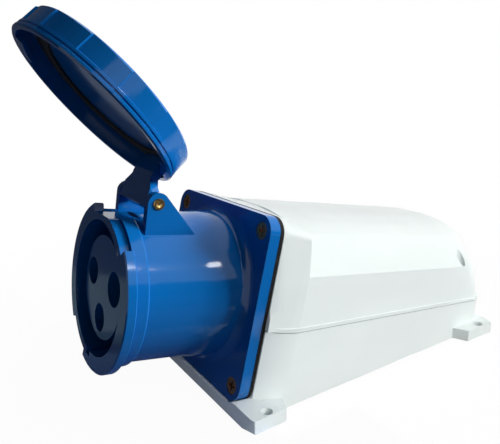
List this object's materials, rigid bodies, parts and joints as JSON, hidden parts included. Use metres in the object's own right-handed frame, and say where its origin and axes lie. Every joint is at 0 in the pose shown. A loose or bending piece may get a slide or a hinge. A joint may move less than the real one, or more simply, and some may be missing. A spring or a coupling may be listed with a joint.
{
  "type": "industrial wall socket",
  "caption": "Wall-mounted industrial socket: wedge-shaped white housing with drilled feet, square blue plate, round flared barrel with contact openings, hinged lid with a turning bayonet ring.",
  "frame": {"origin": "centre of the four foot holes, on the mounting face", "axes": "+Z out of the mounting face, -Y the way the socket faces, X across"},
  "size_m": [0.138, 0.2824, 0.2048],
  "materials": {
    "housing_white": "smooth, semi-gloss",
    "plastic_blue": "smooth, glossy",
    "gasket_black": "matt",
    "seal_grey": "matt",
    "screw_zinc": "yellow zinc plate",
    "contact_brass": "bright",
    "spring_steel": "bright",
    "clamp_grey": "matt"
  },
  "bodies": {
    "housing": {"base_housing": "housing_white", "cover_housing": "housing_white", "cover_seal": "seal_grey", "cover_screws": "screw_zinc", "flange_gasket": "gasket_black", "socket_body": "plastic_blue", "flange_screws": "screw_zinc", "contact_carrier": "plastic_blue", "live_contact": "contact_brass", "neutral_contact": "contact_brass", "earth_contact": "contact_brass", "sleeve_springs": "spring_steel", "terminal_screws": "spring_steel", "carrier_clamp": "clamp_grey", "clamp_screws": "spring_steel", "cable_grommet": "gasket_black", "hinge_pin": "contact_brass"},
    "lid": {"lid_plate": "plastic_blue", "lid_gasket": "gasket_black", "ring_keeper": "plastic_blue"},
    "ring": {"bayonet_ring": "plastic_blue"}
  },
  "joints": [
    {"name": "lid_hinge", "type": "hinge", "parent": "housing", "child": "lid", "pos_m": [0, -0.1246, 0.11353], "axis": [-1, 0, 0], "range_deg": [-130, 15]},
    {"name": "bayonet_turn", "type": "hinge", "parent": "lid", "child": "ring", "pos_m": [0, -0.14341, 0.16166], "axis": [0, -0.7638, -0.6455], "range_deg": [0, 40]}
  ]
}
